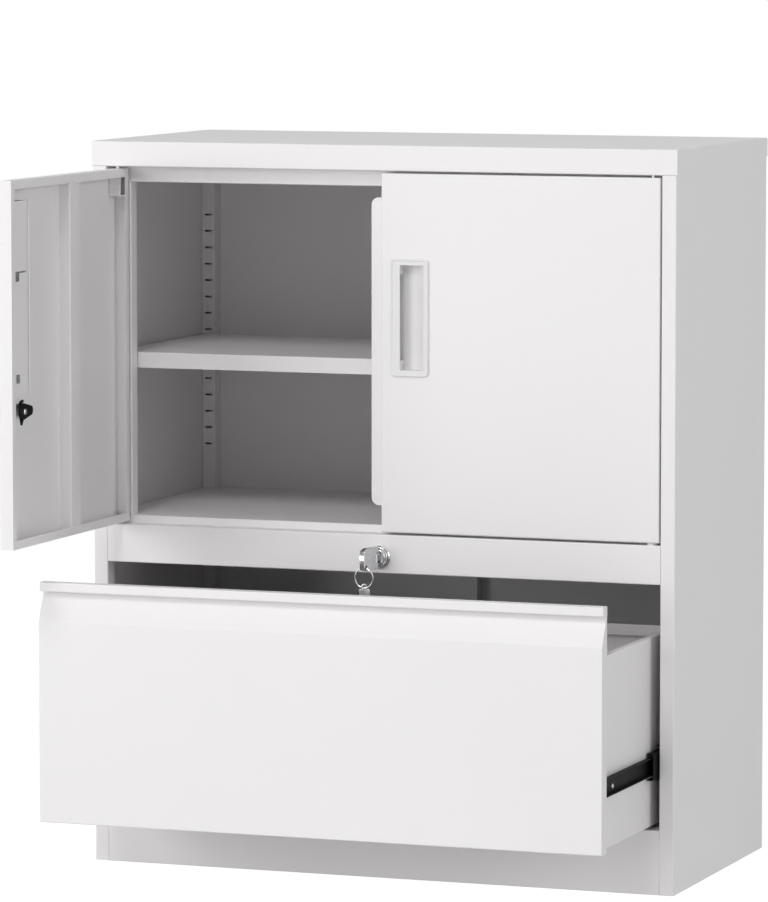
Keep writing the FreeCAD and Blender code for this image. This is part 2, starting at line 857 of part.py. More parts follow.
def drawer_liner():
    top = drawer_top - front_hem
    outline = [
        (liner_back - sheet, drawer_bottom_z + sheet),
        (liner_back - sheet, top),
        (liner_back + liner_flange, top),
        (liner_back + liner_flange, top - liner_hem),
    ]
    panel = folded(outline, "x", -drawer_half + sheet, drawer_half - sheet)
    end = block(drawer_half - liner_flange_end, drawer_half, liner_back, liner_back + liner_flange + overrun,
                top - liner_hem - overrun, top + overrun)
    half = drawer_cam_tip + slot_side_clearance
    cam_front = front + drawer_cam_plane
    cam_rear = cam_front + cam_thickness
    slot = block(-half, half, cam_front - slot_side_clearance, cam_rear + slot_side_clearance,
                 top - overrun, top + overrun)
    return panel.cut(slot).cut(end).cut(mirrored(end))


def drawer_side():
    hem = drawer_side_x - drawer_side_hem
    outline = [
        (hem, drawer_side_top - drawer_side_drop),
        (hem, drawer_side_top),
        (drawer_side_x, drawer_side_top),
        (drawer_side_x, drawer_bottom_z),
        (drawer_side_x - drawer_side_foot, drawer_bottom_z),
    ]
    side = folded(outline, "y", liner_back, drawer_back_y)
    notch = block(hem - overrun, drawer_side_in, drawer_back_y - drawer_side_hem - seam_clearance,
                  drawer_back_y + overrun, drawer_side_top - drawer_side_drop - overrun,
                  drawer_side_top + overrun)
    return side.cut(notch)


def drawer_bottom():
    low = drawer_bottom_z + sheet
    back = drawer_back_y - sheet
    outline = [
        (back, low + drawer_side_foot),
        (back, low),
        (liner_back, low),
        (liner_back, low + drawer_side_foot),
    ]
    return folded(outline, "x", -drawer_side_in, drawer_side_in)


def drawer_back():
    hem = drawer_back_y - drawer_side_hem
    outline = [
        (hem, drawer_side_top - drawer_side_drop),
        (hem, drawer_side_top),
        (drawer_back_y, drawer_side_top),
        (drawer_back_y, drawer_bottom_z + sheet),
    ]
    return folded(outline, "x", -drawer_side_in, drawer_side_in)


def hanging_rails():
    bars = []
    end = drawer_side_x - drawer_side_hem - rail_bar_gap
    for y in (liner_back + rail_bar_front, drawer_back_y - rail_bar_rear - rail_bar_thickness):
        low, top = drawer_side_top - rail_bar_height, drawer_side_top + rail_bar_hook
        bar = block(-end, end, y, y + rail_bar_thickness, low, top)
        hook = block(end - drawer_side_hem, drawer_side_in, y, y + rail_bar_thickness, drawer_side_top, top)
        bars.append(joined(bar, hook, mirrored(hook)))
    return Part.Compound(bars)


# Telescopic slides on the right-hand side, all drawn shut
def slide_bracket():
    low, high = slide_z - slide_bracket_height / 2, slide_z + slide_bracket_height / 2
    outline = [(wall_in, low), (jamb, low), (jamb, high), (wall_in, high)]
    return folded(outline, "y", stop, upright_front)


def slide_member(web, flange, height, away):
    low, high = slide_z - height / 2, slide_z + height / 2
    outline = [(web + flange, low), (web, low), (web, high), (web + flange, high)]
    if away:
        outline = [(web - flange, high), (web, high), (web, low), (web - flange, low)]
    return folded(outline, "y", slide_front, slide_rear, slide_sheet, slide_bend)


# A ball with flat facets: octagons from pole to pole
def faceted_ball(radius, x, y, z):
    rings = []
    for i in range(1, 2 * ball_bands, 2):
        lean = math.pi * i / (2 * ball_bands)
        ring = []
        for j in range(ball_sides):
            angle = 2 * math.pi * j / ball_sides
            ring.append(vec(x + radius * math.sin(lean) * math.cos(angle),
                            y + radius * math.sin(lean) * math.sin(angle),
                            z + radius * math.cos(lean)))
        rings.append(ring)
    outlines = [rings[0], rings[-1]]
    for upper, lower in zip(rings, rings[1:]):
        for j in range(ball_sides):
            outlines.append([upper[j - 1], upper[j], lower[j], lower[j - 1]])
    faces = [Part.Face(Part.makePolygon(points + points[:1])) for points in outlines]
    ball = Part.Solid(Part.Shell(faces))
    ball.fix(touch, touch, touch)
    return ball


def ball_cage(x, outside, inside):
    rise = (outside + inside) / 2
    radius = (outside - inside) / 2 - ball_clearance
    middle = (slide_front + slide_rear) / 2
    rows = []
    for z in (slide_z + rise, slide_z - rise):
        strip = block(x - radius, x + radius, middle - cage_length / 2, middle + cage_length / 2,
                      z - cage_sheet / 2, z + cage_sheet / 2)
        balls = []
        for i in range(ball_count):
            y = middle + (i - (ball_count - 1) / 2) * ball_pitch
            balls.append(faceted_ball(radius, x, y, z))
        rows.append(joined(strip, *balls))
    return Part.Compound(rows)


def moved(shape, travel):
    shape = shape.copy()
    shape.translate(travel)
    return shape


def opened(shape):
    shape = shape.copy()
    shape.rotate(vec(-hinge_x, hinge_y, 0), vec(0, 0, 1), -left_door_rest)
    return shape


def build():
    nodes = {
        "top_cap": top_cap(),
        "mid_rail": mid_rail(),
        "compartment_floor": compartment_floor(),
        "plinth": plinth(),
        "base_pan": base_pan(),
        "base_corner_gussets": gussets(),
        "door_header": door_header(),
        "shelf": shelf(),
        "shelf_clips": shelf_clips(),
        "hinge_washers": hinge_washers(),
    }
    # Pieces that come as a left and a right one
    middle_web = jamb - middle_set
    outer_inside = outer_height / 2 - slide_sheet
    middle_inside = middle_height / 2 - slide_sheet
    pairs = {
        "side_panel": (side_panel(), 0),
        "back_panel": (back_panel(), 0),
        "front_upright": (front_upright(), 0),
        "rear_upright": (rear_upright(), 0),
        "slide_bracket": (slide_bracket(), 0),
        "slide_outer": (slide_member(jamb, outer_flange, outer_height, True), 0),
        "outer_ball_cage": (ball_cage(jamb - slide_thickness / 2, outer_inside, middle_height / 2),
                            outer_cage_share),
        "slide_middle": (slide_member(middle_web, middle_flange, middle_height, True), middle_share),
        "inner_ball_cage": (ball_cage(drawer_side_x + inner_ball_set, middle_inside, inner_height / 2),
                            inner_cage_share),
        "slide_inner": (slide_member(drawer_side_x, inner_flange, inner_height, False), 1),
        "drawer_side": (drawer_side(), 1),
    }
    for name, (shape, share) in pairs.items():
        shape = moved(shape, drawn * share)
        nodes["right_" + name] = shape
        nodes["left_" + name] = mirrored(shape)
    # The drawer
    for name, shape in (
        ("drawer_front", drawer_front()),
        ("drawer_front_liner", drawer_liner()),
        ("drawer_bottom", drawer_bottom()),
        ("drawer_back", drawer_back()),
        ("hanging_rails", hanging_rails()),
    ):
        nodes[name] = moved(shape, drawn)
    # The doors
    for name, shape in (
        ("door_skin", door_skin()),
        ("door_stiffener", stiffener()),
        ("door_handle", handle()),
        ("handle_channel", handle_channel()),
        ("hinge_brackets", hinge_brackets()),
        ("hinge_pins", hinge_pins()),
    ):
        nodes["right_" + name] = shape
        nodes["left_" + name] = opened(mirrored(shape))
    lock_hole = rod(lock_body_radius + lock_hole_clearance, door_lock_x, front - overrun, door_lock_z,
                    vec(0, 1, 0), 2 * overrun)
    nodes["left_door_skin"] = nodes["left_door_skin"].cut(opened(lock_hole))
    nodes["right_door_tongue"] = tongue()
    # The locks
    body = lock_body(door_lock_x, door_lock_z, front, door_rosette_radius, door_rosette_step_radius,
                     front + door_cam_plane - cam_gap)
    nodes["door_lock_body"] = opened(body)
    nodes["door_lock_nut"] = opened(lock_nut(door_lock_x, door_lock_z, front + sheet))
    nodes["door_lock_plug"] = opened(lock_plug(door_lock_x, door_lock_z, front, front + door_cam_plane))
    nodes["door_lock_cam"] = opened(door_lock_cam())
    nodes["drawer_lock_body"] = lock_body(0, lock_z, front, rosette_radius, rosette_step_radius,
                                          front + drawer_cam_plane - cam_gap)
    nodes["drawer_lock_nut"] = lock_nut(0, lock_z, front + sheet)
    nodes["drawer_lock_plug"] = lock_plug(0, lock_z, front, front + drawer_cam_plane)
    nodes["drawer_lock_cam"] = drawer_lock_cam()
    nodes["drawer_key"] = drawer_key()
    return nodes


os.makedirs("parts", exist_ok=True)
for name, shape in build().items():
    shape.exportStep("parts/%s.step" % name)
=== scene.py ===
import json
import math
import bmesh
import bpy
from mathutils import Matrix, Vector


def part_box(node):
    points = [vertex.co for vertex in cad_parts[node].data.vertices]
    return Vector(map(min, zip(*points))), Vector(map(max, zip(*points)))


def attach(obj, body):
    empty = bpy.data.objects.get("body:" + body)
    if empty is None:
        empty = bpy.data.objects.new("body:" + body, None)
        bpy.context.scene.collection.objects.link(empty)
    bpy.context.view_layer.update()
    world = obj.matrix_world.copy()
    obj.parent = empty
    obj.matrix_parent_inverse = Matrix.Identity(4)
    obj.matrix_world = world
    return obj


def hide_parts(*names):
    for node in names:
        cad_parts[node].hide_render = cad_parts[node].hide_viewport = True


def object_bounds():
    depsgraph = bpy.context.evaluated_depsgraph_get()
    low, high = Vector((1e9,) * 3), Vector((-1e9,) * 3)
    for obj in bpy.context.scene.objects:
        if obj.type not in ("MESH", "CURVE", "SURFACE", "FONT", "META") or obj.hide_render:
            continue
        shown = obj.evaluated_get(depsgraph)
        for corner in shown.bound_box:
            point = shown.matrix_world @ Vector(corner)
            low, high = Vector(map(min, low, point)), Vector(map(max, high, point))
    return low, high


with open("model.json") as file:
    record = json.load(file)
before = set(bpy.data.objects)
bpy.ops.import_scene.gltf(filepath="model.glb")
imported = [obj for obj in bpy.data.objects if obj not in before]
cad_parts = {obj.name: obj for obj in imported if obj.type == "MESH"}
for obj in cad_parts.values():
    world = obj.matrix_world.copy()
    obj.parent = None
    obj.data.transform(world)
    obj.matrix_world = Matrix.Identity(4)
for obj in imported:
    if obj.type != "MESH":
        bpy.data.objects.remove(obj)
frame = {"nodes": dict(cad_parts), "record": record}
cadLow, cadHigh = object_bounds()
nodes = frame["nodes"]
mm = 0.001
print("frame loaded:", len(nodes), "nodes")


# One socket of a node tree, with arithmetic; node() adds any other node
class Wire:
    def __init__(self, tree, socket=None):
        self.tree = tree
        self.socket = socket

    def node(self, kind, settings=None, inputs=None, output=0):
        made = self.tree.nodes.new("ShaderNode" + kind)
        for key, value in (settings or {}).items():
            setattr(made, key, value)
        for key, value in (inputs or {}).items():
            if isinstance(value, Wire):
                self.tree.links.new(value.socket, made.inputs[key])
            else:
                made.inputs[key].default_value = value
        return Wire(self.tree, made.outputs[output] if made.outputs else None)

    # Another output of the same node
    def sibling(self, output):
        return Wire(self.tree, self.socket.node.outputs[output])

    def maths(self, operation, first, second):
        return self.node("Math", {"operation": operation}, {0: first, 1: second})

    def __add__(self, other):
        return self.maths("ADD", self, other)

    def __radd__(self, other):
        return self.maths("ADD", other, self)

    def __sub__(self, other):
        return self.maths("SUBTRACT", self, other)

    def __rsub__(self, other):
        return self.maths("SUBTRACT", other, self)

    def __mul__(self, other):
        return self.maths("MULTIPLY", self, other)

    def __rmul__(self, other):
        return self.maths("MULTIPLY", other, self)


def newTree(name):
    material = bpy.data.materials.new(name)
    material.use_nodes = True
    material.node_tree.nodes.clear()
    return material, Wire(material.node_tree)


def closeTree(material, pen, shader):
    pen.node("OutputMaterial", {"is_active_output": True}, {"Surface": shader})
    return material


def noise(pen, size, detail, stretch):
    place = pen.node("TexCoord", output="Object")
    place = pen.node("Mapping", {}, {"Vector": place, "Scale": stretch})
    return pen.node("TexNoise", {}, {"Vector": place, "Scale": 1 / size, "Detail": detail}, "Fac")


even = (1, 1, 1)
noiseMean = 0.5
mixFirst, mixSecond, mixResult = 6, 7, 2     # the colour sockets of a Mix node

# what a finish has unless it says otherwise
plainFinish = {"stretch": even, "specular": 0.5, "waveDepth": 0.0, "broadDetail": 2.0, "fineDetail": 3.0}


# A coating or metal: a broad and a fine noise vary its shade, its gloss and its relief; on the chrome, the
# broad noise's dark and light patches are a painted reflection
def finish(name, values):
    look = {**plainFinish, **values}
    material, pen = newTree(name)
    broad = noise(pen, look["patch"], look["broadDetail"], even)
    fine = noise(pen, look["grain"], look["fineDetail"], look["stretch"])
    shades = {"Factor": broad, mixFirst: look["dark"] + (1,), mixSecond: look["light"] + (1,)}
    shade = pen.node("Mix", {"data_type": "RGBA"}, shades, mixResult)
    rough = look["rough"] + look["roughSpread"] * (fine + broad - 2 * noiseMean)
    relief = fine * look["grainDepth"] + broad * look["waveDepth"]
    bump = pen.node("Bump", {}, {"Height": relief, "Strength": 1.0, "Distance": 1.0})
    shader = pen.node("BsdfPrincipled", {}, {"Base Color": shade, "Roughness": rough, "Normal": bump,
                                             "Metallic": look["metal"],
                                             "Specular IOR Level": look["specular"]})
    return closeTree(material, pen, shader)


# patch and grain are the sizes of the two noises, and the depths are heights of relief
finishes = {
    "white_paint": {"dark": (0.845, 0.830, 0.836), "light": (0.870, 0.854, 0.860), "metal": 0.0,
                    "rough": 0.42, "roughSpread": 0.08, "patch": 220 * mm, "grain": 1.6 * mm,
                    "grainDepth": 0.010 * mm, "waveDepth": 0.25 * mm},
    "white_plastic": {"dark": (0.772, 0.762, 0.766), "light": (0.795, 0.784, 0.788), "metal": 0.0,
                      "rough": 0.38, "roughSpread": 0.06, "patch": 30 * mm, "grain": 0.7 * mm,
                      "grainDepth": 0.008 * mm},
    # lock_chrome's shade swings between its dark and light in 4 mm patches: painted reflection, standing in
    # for dark and bright surroundings mirrored in the chrome
    "lock_chrome": {"dark": (0.48, 0.48, 0.49), "light": (0.78, 0.78, 0.79), "metal": 1.0,
                    "rough": 0.08, "roughSpread": 0.05, "patch": 4 * mm, "grain": 0.5 * mm,
                    "grainDepth": 0.004 * mm},
    "black_steel": {"dark": (0.006, 0.006, 0.007), "light": (0.012, 0.012, 0.013), "metal": 0.0,
                    "rough": 0.55, "roughSpread": 0.12, "patch": 30 * mm, "grain": 0.9 * mm,
                    "grainDepth": 0.008 * mm, "specular": 0.06},
    "zinc_steel": {"dark": (0.46, 0.47, 0.49), "light": (0.62, 0.63, 0.65), "metal": 1.0,
                   "rough": 0.34, "roughSpread": 0.14, "patch": 12 * mm, "grain": 0.6 * mm,
                   "grainDepth": 0.006 * mm, "stretch": (1, 1, 0.15)},
    "nylon": {"dark": (0.66, 0.66, 0.63), "light": (0.74, 0.74, 0.71), "metal": 0.0,
              "rough": 0.50, "roughSpread": 0.08, "patch": 10 * mm, "grain": 0.6 * mm,
              "grainDepth": 0.006 * mm},
}
coats = {name: finish(name + "_finish", look) for name, look in finishes.items()}
subparts = frame["record"]["subparts"]
for part in subparts:
    mesh = nodes[part["node"]].data
    mesh.materials.clear()
    mesh.materials.append(coats[part["material_slot"]])
print("finishes on:", len(subparts), "nodes")

joinWithin = 0.001 * mm            # points closer than this become one
smoothBelow = math.radians(20)     # edges that turn less than this look round
levelFace = 0.9                    # a face whose normal rises more than this lies level
bevelSteps = 2
quarterSteps = 6                   # straight steps in a quarter of a round outline


def toMesh(name, bm):
    mesh = bpy.data.meshes.new(name)
    bm.to_mesh(mesh)
    bm.free()
    return mesh


def addObject(name, data):
    made = bpy.data.objects.new(name, data)
    bpy.context.scene.collection.objects.link(made)
    return made


def piece(name, bm, body, slot):
    bmesh.ops.remove_doubles(bm, verts=bm.verts, dist=joinWithin)
    bmesh.ops.recalc_face_normals(bm, faces=bm.faces)
    mesh = toMesh(name, bm)
    mesh.shade_smooth()
    mesh.set_sharp_from_angle(angle=smoothBelow)
    mesh.materials.append(coats[slot])
    made = addObject(name, mesh)
    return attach(made, body)


def turned(degrees, axis="Z"):
    return Matrix.Rotation(math.radians(degrees), 4, axis)


def soften(bm, edges, offset):
    bmesh.ops.bevel(bm, geom=edges, offset=offset, offset_type="OFFSET", affect="EDGES",
                    segments=bevelSteps, profile=0.5, material=-1)


def put(bm, place, turn=None):
    if turn:
        bmesh.ops.transform(bm, matrix=turn, verts=bm.verts)
    bmesh.ops.translate(bm, vec=place, verts=bm.verts)


def merged(parts):
    whole = bmesh.new()
    for bm in parts:
        mesh = toMesh("scrap", bm)
        whole.from_mesh(mesh)
        bpy.data.meshes.remove(mesh)
    return whole


def onlyVerts(geom):
    return [item for item in geom if isinstance(item, bmesh.types.BMVert)]


def levelEdges(edges, tall):
    return [edge for edge in edges if abs(edge.verts[0].co.z - edge.verts[1].co.z) < tall / 2]


def plate(size, edge):
    bm = bmesh.new()
    bmesh.ops.create_cube(bm, size=1.0)
    bmesh.ops.scale(bm, vec=size, verts=bm.verts)
    soften(bm, bm.edges[:], edge)
    return bm


def rod(radius, tall, sides, edge):
    bm = bmesh.new()
    bmesh.ops.create_cone(bm, cap_ends=True, segments=sides, radius1=radius, radius2=radius, depth=tall)
    soften(bm, levelEdges(bm.edges, tall), edge)
    return bm


# A hoop round the Z axis; its wire is an ellipse of the two given half widths
def hoop(look):
    bm = bmesh.new()
    bmesh.ops.create_circle(bm, segments=look["sides"], radius=1.0)
    bmesh.ops.scale(bm, vec=(look["wide"], look["tall"], 1), verts=bm.verts)
    bmesh.ops.transform(bm, matrix=turned(90, "X"), verts=bm.verts)
    bmesh.ops.translate(bm, vec=(look["radius"], 0, 0), verts=bm.verts)
    bmesh.ops.spin(bm, geom=bm.verts[:] + bm.edges[:], cent=(0, 0, 0), axis=(0, 0, 1),
                   angle=2 * math.pi, steps=look["steps"], use_merge=True)
    return bm


# A flat outline with any holes, pulled up to its thickness, with its rims softened
def slab(loops, thick, edge):
    bm = bmesh.new()
    rims = []
    for loop in loops:
        verts = [bm.verts.new((u, v, -thick / 2)) for u, v in loop]
        rims += [bm.edges.new((verts[i - 1], verts[i])) for i in range(len(verts))]
    bmesh.ops.triangle_fill(bm, use_beauty=True, use_dissolve=False, edges=rims)
    pulled = bmesh.ops.extrude_face_region(bm, geom=bm.faces[:], use_keep_orig=True)["geom"]
    bmesh.ops.translate(bm, vec=(0, 0, thick), verts=onlyVerts(pulled))
    bmesh.ops.recalc_face_normals(bm, faces=bm.faces)
    walls = [face for face in bm.faces if abs(face.normal.z) < levelFace]
    soften(bm, levelEdges({side for face in walls for side in face.edges}, thick), edge)
    return bm


# Points on an ellipse of the two given half widths; start and end count quarters of a turn
def arc(centre, half, start, end):
    points = []
    for i in range((end - start) * quarterSteps + 1):
        angle = (start + i / quarterSteps) * math.pi / 2
        points.append((centre[0] + half[0] * math.cos(angle), centre[1] + half[1] * math.sin(angle)))
    return points


def roundedLoop(halfWide, halfTall, corner):
    loop = []
    for i, (u, v) in enumerate(((1, 1), (-1, 1), (-1, -1), (1, -1))):
        centre = (u * (halfWide - corner), v * (halfTall - corner))
        loop += arc(centre, (corner, corner), i, i + 1)
    return loop


# turns that point Z along X or along Y, and one that stands a flat outline up along Y
aim = {"x": turned(90, "Y"), "y": turned(-90, "X")}
upright = Matrix(((0, 0, 1, 0), (1, 0, 0, 0), (0, 1, 0, 0), (0, 0, 0, 1)))

screw = {"radius": 3.4 * mm, "taper": 0.92, "tall": 1.7 * mm, "edge": 0.5 * mm, "slot": 0.9 * mm,
         "sink": 0.7 * mm, "sides": 20, "turn": 25.0}


# A round screw head on the XY plane, with a straight slot across its top
def screwHead():
    tall, half = screw["tall"], screw["slot"] / 2
    bm = bmesh.new()
    bmesh.ops.create_cone(bm, cap_ends=True, segments=screw["sides"], radius1=screw["radius"],
                          radius2=screw["radius"] * screw["taper"], depth=tall)
    bmesh.ops.translate(bm, vec=(0, 0, tall / 2), verts=bm.verts)
    soften(bm, [e for e in bm.edges if min(v.co.z for v in e.verts) > tall / 2], screw["edge"])
    for side in (-half, half):
        bmesh.ops.bisect_plane(bm, geom=bm.verts[:] + bm.edges[:] + bm.faces[:], dist=joinWithin,
                               plane_co=(0, side, 0), plane_no=(0, 1, 0))
    top = [face for face in bm.faces if face.normal.z > levelFace]
    inner = [face for face in top if abs(face.calc_center_median().y) < half]
    sunk = bmesh.ops.extrude_face_region(bm, geom=inner)["geom"]
    bmesh.ops.delete(bm, geom=inner, context="FACES")
    bmesh.ops.translate(bm, vec=(0, 0, -screw["sink"]), verts=onlyVerts(sunk))
    return bm


# The screws that hold the locks' cams
def camScrews():
    for name, axis in (("door", "x"), ("drawer", "y")):
        low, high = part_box(name + "_lock_plug")
        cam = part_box(name + "_lock_cam")[1]
        spot = (low + high) / 2
        setattr(spot, axis, max(getattr(high, axis), getattr(cam, axis)))
        bm = screwHead()
        put(bm, spot, aim[axis] @ turned(screw["turn"]))
        piece(name + "CamScrew", bm, name + "_lock", "zinc_steel")


rim = {"radii": (12.4 * mm, 8.8 * mm), "wide": 1.2 * mm, "tall": 0.8 * mm, "steps": 48, "sides": 20}


# Raised rings on the face of each lock's rosette
def lockRims():
    for name, axis, body in (("door", "x", "left_door"), ("drawer", "y", "case")):
        low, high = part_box(name + "_lock_body")
        spot = (low + high) / 2
        setattr(spot, axis, getattr(low, axis))
        hoops = []
        for radius in rim["radii"]:
            bm = hoop({**rim, "radius": radius})
            put(bm, spot, aim[axis])
            hoops.append(bm)
        piece(name + "LockRims", merged(hoops), body, "lock_chrome")


# the key in the drawer's lock, with the outline of its folding bow: u runs from its hinge, v up
key = {"long": 32 * mm, "half": 15 * mm, "thick": 7.5 * mm, "lean": 15.0, "edge": 0.7 * mm,
       "upper": (15 * mm, 6 * mm), "lower": (7 * mm, 5.5 * mm), "rear": (4 * mm, 4 * mm),
       "notch": (6 * mm, 6.5 * mm), "hole": 2.4 * mm, "holeInset": 4.9 * mm,
       "barrel": 3.3 * mm, "barrelTall": 12 * mm, "barrelAt": 3.6 * mm, "barrelSides": 24,
       "barrelEdge": 0.35 * mm, "neckTall": 9 * mm, "neckThick": 2.2 * mm, "neckEdge": 0.18 * mm}


def bowLoops():
    long, half = key["long"], key["half"]
    upper, rear, lower = key["upper"], key["rear"], key["lower"]
    deep, tall = key["notch"]
    outline = arc((long - upper[0], half - upper[1]), upper, 0, 1)
    outline += arc((rear[0], half - rear[1]), rear, 1, 2)
    outline += [(0, tall), (deep, tall), (deep, -tall), (0, -tall)]
    outline += arc((rear[0], rear[1] - half), rear, 2, 3)
    outline += arc((long - lower[0], lower[1] - half), lower, 3, 4)
    spot = (long - key["holeInset"], key["holeInset"] - half)
    return [outline, arc(spot, (key["hole"], key["hole"]), 0, 4)[:-1]]


def dressedKey():
    low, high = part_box("drawer_key")
    lean = math.radians(key["lean"])
    axis = (low.z + high.z) / 2
    hinge = low.y + key["long"] * math.cos(lean) + key["thick"] / 2 * math.sin(lean)
    knuckle = hinge - key["barrelAt"]
    bow = slab(bowLoops(), key["thick"], key["edge"])
    put(bow, (0, hinge, axis), turned(180 - key["lean"]) @ upright)
    barrel = rod(key["barrel"], key["barrelTall"], key["barrelSides"], key["barrelEdge"])
    put(barrel, (0, knuckle, axis))
    neck = plate((key["neckThick"], high.y - knuckle, key["neckTall"]), key["neckEdge"])
    put(neck, (0, (high.y + knuckle) / 2, axis))
    made = piece("dressedKey", merged([bow, barrel, neck]), "drawer_lock", "lock_chrome")
    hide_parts("drawer_key")


# a split ring of two coils; inBow is its way in from the corner of the key's box
ring = {"radius": 12.7 * mm, "wide": 0.85 * mm, "tall": 0.5 * mm, "steps": 64, "sides": 20, "turn": -5.0,
        "gap": 0.06 * mm, "inBow": (4.9 * mm, 5.7 * mm, 4.0 * mm)}


def keyRing(centre):
    stand = turned(ring["turn"]) @ aim["y"]
    coils = []
    for side in (-1, 1):
        bm = hoop(ring)
        bmesh.ops.translate(bm, vec=(0, 0, side * (ring["tall"] + ring["gap"] / 2)), verts=bm.verts)
        put(bm, centre, stand)
        coils.append(bm)
    piece("keyRing", merged(coils), "drawer_lock", "lock_chrome")


# the second key hangs by an eye on its bow, and the middle of that eye is its origin
eye = {"radius": 3.2 * mm, "wide": 1.1 * mm, "tall": 1.1 * mm, "steps": 24, "sides": 20}
spare = {"wide": 15 * mm, "tall": 27 * mm, "thick": 6.5 * mm, "corner": 3.5 * mm, "edge": 0.6 * mm,
         "turn": -42.0, "neck": 6 * mm, "bladeWide": 7.4 * mm, "bladeLong": 25 * mm,
         "bladeThick": 2.2 * mm, "bladeEdge": 0.2 * mm, "teeth": 5, "toothDepth": 1.9 * mm,
         "shallowShare": 0.5}


def bladeOutline(top):
    half = spare["bladeWide"] / 2
    tip = top - spare["bladeLong"]
    pitch = (spare["bladeLong"] - half) / spare["teeth"]
    outline = [(-half, top), (-half, tip + half), (0, tip), (half, tip + half)]
    for i in range(spare["teeth"]):
        foot = tip + half + i * pitch
        depth = spare["toothDepth"] * (1 if i % 2 else spare["shallowShare"])
        outline += [(half - depth, foot + pitch / 2), (half, foot + pitch)]
    return outline


def spareKey(centre):
    top = eye["wide"] - eye["radius"]
    foot = top - spare["tall"]
    bow = slab([roundedLoop(spare["wide"] / 2, spare["tall"] / 2, spare["corner"])], spare["thick"],
               spare["edge"])
    put(bow, (0, (top + foot) / 2, 0))
    neck = plate((spare["bladeWide"], 2 * spare["neck"], spare["bladeThick"]), spare["bladeEdge"])
    put(neck, (0, foot, 0))
    blade = slab([bladeOutline(foot - spare["neck"])], spare["bladeThick"], spare["bladeEdge"])
    whole = merged([bow, hoop(eye), neck, blade])
    drop = ring["radius"] + ring["wide"] - (eye["radius"] - eye["wide"])
    put(whole, centre - Vector((0, 0, drop)), turned(ring["turn"] + spare["turn"]) @ upright)
    piece("spareKey", whole, "drawer_lock", "lock_chrome")


def keyBundle():
    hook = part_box("drawer_key")[0] + Vector(ring["inBow"])
    centre = hook - Vector((0, 0, ring["radius"]))
    dressedKey()
    keyRing(centre)
    spareKey(centre)


# A place or size as across, through and up a door: the left one stands open, so its X and Y change over
def onDoor(name, place):
    return Vector((place[1], place[0], place[2])) if name == "left" else Vector(place)


def doorBox(name, node):
    low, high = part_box(name + node)
    return onDoor(name, low), onDoor(name, high)


clip = {"legAcross": 11 * mm, "legTall": 11 * mm, "armAcross": 30 * mm, "armTall": 2 * mm, "thick": 0.8 * mm,
        "edge": 0.15 * mm, "along": 12 * mm, "drop": 6 * mm, "lap": 0.4 * mm}


# Bent spring plates behind each handle: a leg at each end, and an arm over the upper one. They sit where the
# channel has a window and a slit. Their grey is partly the clip seen through those openings and partly
# painted shade standing in for the dark openings themselves
def handleClipsAndWindowShade():
    for name in ("left", "right"):
        low, high = doorBox(name, "_handle_channel")
        handleLow, handleHigh = doorBox(name, "_door_handle")
        leg = clip["drop"] + clip["legTall"] / 2
        arm = clip["drop"] + clip["lap"] - clip["armTall"] / 2
        shapes = ((clip["legAcross"], clip["legTall"], handleHigh.z - leg),
                  (clip["armAcross"], clip["armTall"], handleHigh.z - arm),
                  (clip["legAcross"], clip["legTall"], handleLow.z + leg))
        parts = []
        for across, tall, height in shapes:
            bm = plate(onDoor(name, (across, clip["thick"], tall)), clip["edge"])
            spot = (low.x + clip["along"] + across / 2, high.y + clip["thick"] / 2, height)
            put(bm, onDoor(name, spot))
            parts.append(bm)
        piece(name + "HandleClipsAndWindowShade", merged(parts), name + "_door", "zinc_steel")


hem = {"radius": 1.2 * mm, "sides": 24, "edge": 0.3 * mm}


# A rolled edge along each channel's free side
def channelHems():
    for name in ("left", "right"):
        low, high = doorBox(name, "_handle_channel")
        bm = rod(hem["radius"], high.z - low.z, hem["sides"], hem["edge"])
        put(bm, onDoor(name, (high.x, high.y - hem["radius"] / 2, (low.z + high.z) / 2)))
        piece(name + "ChannelHem", bm, name + "_door", "white_paint")


lip = {"wide": 2.4 * mm, "thick": 1.7 * mm, "corner": 5.2 * mm, "edge": 0.75 * mm, "proud": 0.9 * mm,
       "grow": 0.1 * mm}


# A rounded lip along the outer edge of each recessed handle's flange
def handleLips():
    for name, turn in (("left", upright), ("right", aim["y"])):
        low, high = doorBox(name, "_door_handle")
        halfWide, halfTall = (high.x - low.x) / 2 + lip["grow"], (high.z - low.z) / 2 + lip["grow"]
        outer = roundedLoop(halfWide, halfTall, lip["corner"])
        inner = roundedLoop(halfWide - lip["wide"], halfTall - lip["wide"], lip["corner"] - lip["wide"])
        bm = slab([outer, inner], lip["thick"], lip["edge"])
        spot = (low + high) / 2
        spot.y = low.y + lip["thick"] / 2 - lip["proud"]
        put(bm, onDoor(name, spot), turn)
        piece(name + "HandleLip", bm, name + "_door", "white_plastic")


runner = {"web": 1.2 * mm, "first": 46 * mm, "apart": 192 * mm, "count": 2, "drop": 3 * mm, "turn": 57.0}


# The screws through the drawer's slide members
def slideScrews():
    for name, side in (("left", -1), ("right", 1)):
        low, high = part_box(name + "_slide_inner")
        spot = (low + high) / 2
        spot.x = low.x + runner["web"] if side > 0 else high.x - runner["web"]
        spot.z -= runner["drop"]
        parts = []
        for i in range(runner["count"]):
            bm = screwHead()
            spot.y = low.y + runner["first"] + i * runner["apart"]
            put(bm, spot, turned(side * 90, "Y") @ turned(i * runner["turn"]))
            parts.append(bm)
        piece(name + "SlideScrews", merged(parts), "drawer", "zinc_steel")


camScrews()
lockRims()
keyBundle()
handleClipsAndWindowShade()
channelHems()
handleLips()
slideScrews()
print("small pieces made")

# floor and light
studio = {"floorSize": 60.0, "floorShade": 0.86, "cameraShade": 0.30, "cameraGlow": 0.92, "ambient": 0.34,
          "fromFront": 0.10, "fromBelow": 0.30}


def grey(shade):
    return (shade, shade, shade, 1)


